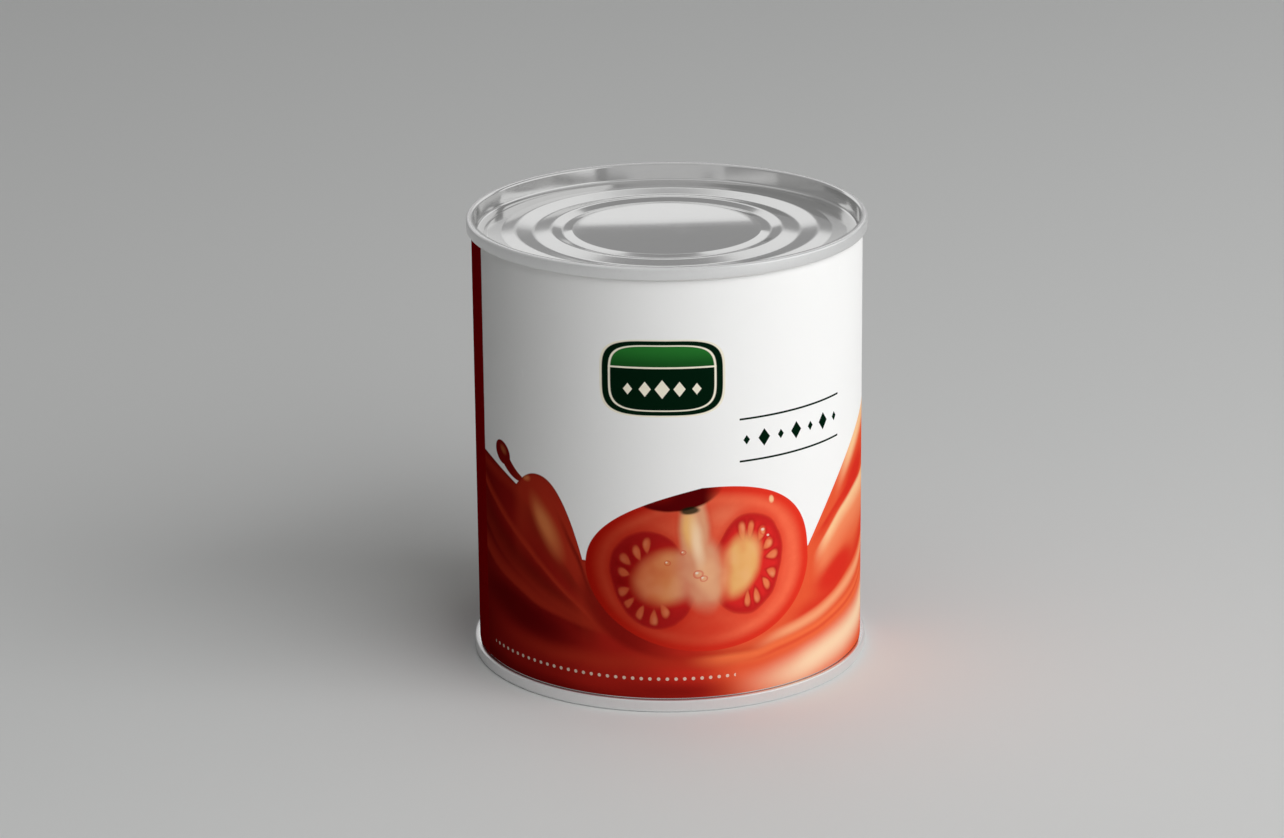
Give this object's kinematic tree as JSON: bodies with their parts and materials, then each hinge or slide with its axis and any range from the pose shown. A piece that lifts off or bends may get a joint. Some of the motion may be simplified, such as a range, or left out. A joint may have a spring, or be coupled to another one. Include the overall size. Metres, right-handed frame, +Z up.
{
  "type": "food can",
  "caption": "Shut round tin for tomato paste: seamed tinplate body with a paper label and beaded stamped ends, standing on its lower seam.",
  "frame": {"origin": "middle of the foot, on the plane the lower seam stands on", "axes": "+Z up along the can's axis; -Y through the middle of the label's printed front, +X to its right"},
  "size_m": [0.1024, 0.1024, 0.1165],
  "materials": {
    "tin_wall": "bright tinplate, drawn grain along the body",
    "tin_end": "bright stamped tinplate, satin",
    "label_paper": "satin coated paper, printed in red, dark red and white"
  },
  "bodies": {
    "root": {"can_body": "tin_wall", "top_end": "tin_end", "bottom_end": "tin_end", "label": "label_paper"}
  },
  "joints": []
}
